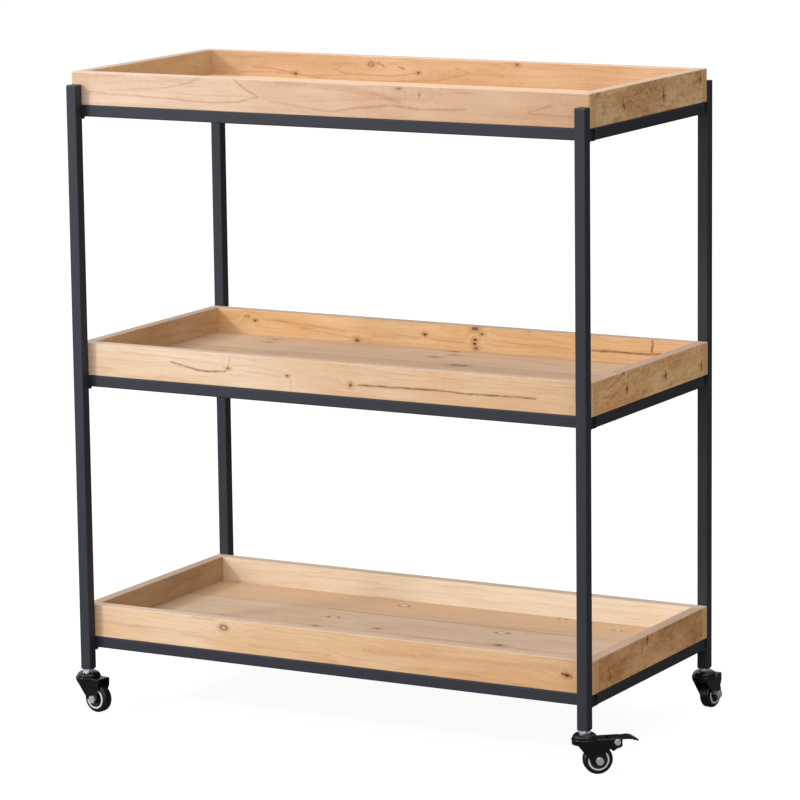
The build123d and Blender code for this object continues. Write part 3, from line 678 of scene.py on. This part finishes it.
CHARCOAL = (0.0192, 0.0208, 0.0290)
m_post = powder("charcoal_powder_coat_upright", CHARCOAL, 1.0, along=2, rough=0.56)
m_railx = powder("charcoal_powder_coat_long", CHARCOAL, 2.0, along=0)
m_raily = powder("charcoal_powder_coat_short", CHARCOAL, 3.0, along=1)
m_weld = powder("charcoal_powder_coat_weld", CHARCOAL, 4.0, along=0, rough=0.42)
m_cap = matte_plastic("black_cap_plastic", (0.020, 0.020, 0.022))
m_gloss = gloss_black("gloss_black_steel")
m_zinc = zinc("bright_zinc_plate")
m_tyre = rubber("black_polyurethane_tyre")
joints = {j["name"]: j for j in frame["joints"]}
for name, obj in nodes.items():
    if name in spec:
        continue
    if name.startswith("post_") and "caps" not in name and "inserts" not in name:
        paint(obj, m_post)
    elif name.startswith("rail_") and name.endswith(("front", "rear")):
        paint(obj, m_railx)
    elif name.startswith("rail_") and name.endswith(("left", "right")):
        paint(obj, m_raily)
    elif name in ("post_top_caps", "post_foot_inserts", "rail_end_plugs"):
        paint(obj, m_cap)
    elif name == "weld_beads":
        paint(obj, m_weld)
    elif name.startswith(("caster_fork", "brake_pedal")) or name == "caster_head_covers":
        paint(obj, m_gloss)
    elif name.startswith(("caster_axle", "brake_pivot")) or name in ("caster_stems", "tray_screws"):
        paint(obj, m_zinc)
    elif name.startswith("caster_tyre"):
        paint(obj, m_tyre)
    elif name.startswith("caster_wheel_core"):
        j = joints["wheel_spin_" + name[len("caster_wheel_core_"):]]
        paint(obj, wheel_core("moulded_" + name, j["pos_m"], j["axis"]))


# ------------------------------------------------------------------ stage, light, camera
def plane(name, size, z):
    me = bpy.data.meshes.new(name)
    s = size / 2
    me.from_pydata([(-s, -s, z), (s, -s, z), (s, s, z), (-s, s, z)], [], [(0, 1, 2, 3)])
    o = bpy.data.objects.new(name, me)
    bpy.context.scene.collection.objects.link(o)
    return o


floor = plane("studio_floor", 90.0, 0.0)
gf = Graph("studio_floor_white")
gf.set(Base_Color=gf.mix(gf.noise(gf.coord, 1.5, 2.0), (0.14, 0.14, 0.14, 1), (0.16, 0.16, 0.16, 1)), Roughness=0.85)
gf.bsdf.inputs["Specular IOR Level"].default_value = 0.0
# the sweep is lit from below as well, as a translucent shooting table is
gf.bsdf.inputs["Emission Color"].default_value = (1.0, 1.0, 1.0, 1.0)
gf.bsdf.inputs["Emission Strength"].default_value = 0.0
camera_ray = gf.t.nodes.new("ShaderNodeLightPath").outputs["Is Camera Ray"]
gf.put(gf.bsdf.inputs["Emission Strength"], gf.math("MULTIPLY", camera_ray, 0.93))
paint(floor, gf.mat)

world = bpy.data.worlds.new("studio")
bpy.context.scene.world = world
world.use_nodes = True
wt = world.node_tree
bg = wt.nodes["Background"]
sky = wt.nodes.new("ShaderNodeTexCoord").outputs["Generated"]
dot = wt.nodes.new("ShaderNodeVectorMath")
dot.operation = "DOT_PRODUCT"
wt.links.new(sky, dot.inputs[0])
dot.inputs[1].default_value = Vector((-0.52, -0.50, 0.69)).normalized()
fall = wt.nodes.new("ShaderNodeMapRange")
fall.interpolation_type = "SMOOTHSTEP"
wt.links.new(dot.outputs["Value"], fall.inputs[0])
fall.inputs[1].default_value = -0.65
fall.inputs[2].default_value = 0.85
fall.inputs[3].default_value = 0.05
fall.inputs[4].default_value = 1.22
wt.links.new(fall.outputs[0], bg.inputs[1])
bg.inputs[0].default_value = (1.0, 0.995, 0.99, 1)


def area(name, loc, target, size, power, colour=(1, 1, 1)):
    la = bpy.data.lights.new(name, "AREA")
    la.shape = "RECTANGLE"
    la.size, la.size_y = size
    la.energy = power
    la.color = colour
    o = bpy.data.objects.new(name, la)
    o.location = loc
    d = Vector(target) - Vector(loc)
    o.rotation_euler = d.to_track_quat("-Z", "Y").to_euler()
    bpy.context.scene.collection.objects.link(o)
    return o


area("key", (-2.47, -2.80, 2.28), (-0.1, 0.0, 0.5), (0.50, 0.50), 56)
area("fill", (3.2, -2.2, 1.2), (0.2, 0.0, 0.5), (1.2, 1.6), 14)
area("low_window", (-1.95, -2.65, 0.60), (-0.15, 0.0, 0.6), (1.1, 0.9), 20, (0.80, 0.90, 1.0))
area("top", (0.2, -0.4, 4.2), (0.0, 0.0, 0.4), (2.4, 2.4), 60)

cam_d = bpy.data.cameras.new("camera")
cam_d.lens = 36.0 * 4129.98 / 800.0
cam_d.sensor_width = 36.0
cam_d.clip_end = 200.0
cam = bpy.data.objects.new("camera", cam_d)
bpy.context.scene.collection.objects.link(cam)
right = Vector((0.8777675, 0.4789374, -0.0119647))
down = Vector((0.0740697, -0.1603395, -0.9842789))
ahead = Vector((-0.4733264, 0.8630818, -0.1762155))
turn = Matrix((right, -down, -ahead)).transposed().to_4x4()
cam.matrix_world = Matrix.Translation((2.745875, -4.984210, 1.464548)) @ turn
bpy.context.scene.camera = cam
bpy.context.scene.view_settings.view_transform = "Standard"
